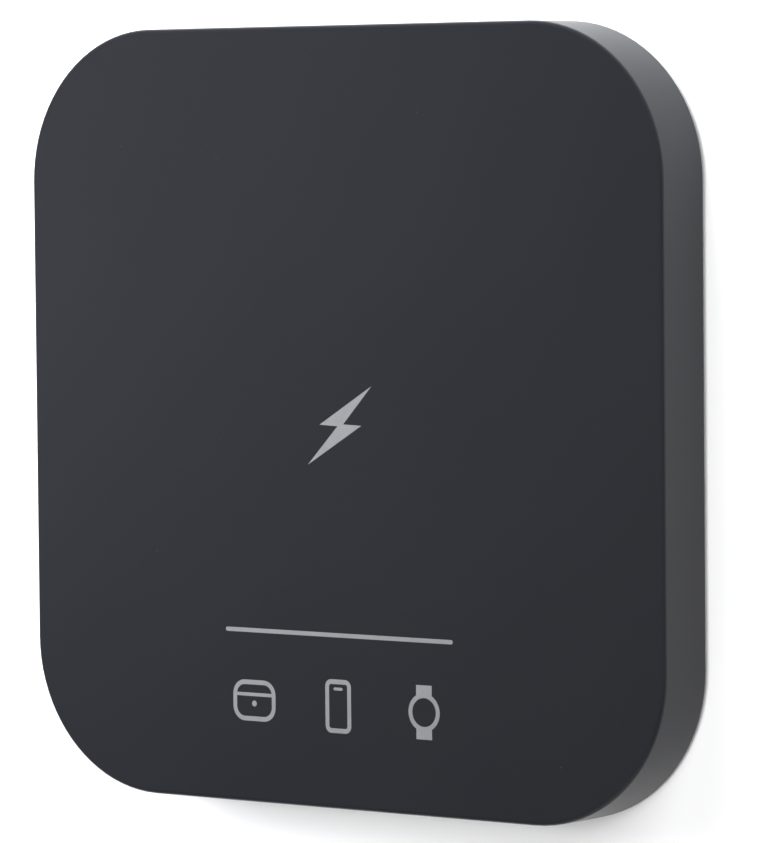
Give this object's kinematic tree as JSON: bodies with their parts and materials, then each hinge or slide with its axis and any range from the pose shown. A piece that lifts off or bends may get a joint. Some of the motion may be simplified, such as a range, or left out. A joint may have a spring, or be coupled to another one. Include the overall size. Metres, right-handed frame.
{
  "type": "wireless charging pad",
  "caption": "Square pad with round corners that charges a phone laid on it: plastic casing on rubber feet, flat coil on ferrite, circuit board, micro-USB inlet and status light.",
  "frame": {"origin": "on the surface the pad stands on, below the middle of the charging face", "axes": "+Z out of the charging face, +Y to the side with the USB inlet, -Y to the side with the status light, +X to the right of someone at the status light's side"},
  "size_m": [0.09, 0.09, 0.0091],
  "materials": {
    "cover_plastic": "soft-touch matt charcoal",
    "base_plastic": "fine spark texture, charcoal",
    "bolt_ink": "matt light grey pad print",
    "mark_ink": "matt grey pad print",
    "label_foil": "satin grey sticker, blank",
    "foot_rubber": "matt black rubber",
    "screw_steel": "zinc plated",
    "foam": "soft open-cell foam, dark grey",
    "ferrite": "sintered ferrite, dark grey",
    "tape": "thin double-sided tape",
    "coil_wire": "enamelled stranded copper",
    "solder": "bright solder",
    "board_laminate": "satin green solder mask",
    "shell_steel": "nickel plated",
    "connector_plastic": "black moulded insert",
    "contact_gold": "gold plated",
    "led_resin": "clear yellowish resin",
    "light_lens": "milky polycarbonate",
    "chip_epoxy": "matt black epoxy",
    "capacitor_ceramic": "tan ceramic",
    "resistor_ceramic": "black glazed ceramic",
    "thermistor_ceramic": "dark green ceramic",
    "terminal_tin": "tinned"
  },
  "bodies": {
    "root": {"top_cover": "cover_plastic", "bottom_cover": "base_plastic", "bolt_mark": "bolt_ink", "device_marks": "mark_ink", "rating_label": "label_foil", "foot_front_left": "foot_rubber", "foot_front_right": "foot_rubber", "foot_back_right": "foot_rubber", "foot_back_left": "foot_rubber", "cover_screws": "screw_steel", "foam_pad": "foam", "ferrite_shield": "ferrite", "coil_tape": "tape", "coil_winding": "coil_wire", "coil_leads": "coil_wire", "solder_joints": "solder", "main_board": "board_laminate", "usb_shell": "shell_steel", "usb_tongue": "connector_plastic", "usb_contacts": "contact_gold", "status_led": "led_resin", "light_pipe": "light_lens", "controller_ic": "chip_epoxy", "power_mosfets": "chip_epoxy", "voltage_regulator": "chip_epoxy", "resonant_capacitors": "capacitor_ceramic", "filter_capacitors": "capacitor_ceramic", "chip_resistors": "resistor_ceramic", "thermistor": "thermistor_ceramic", "chip_terminals": "terminal_tin"}
  },
  "joints": []
}
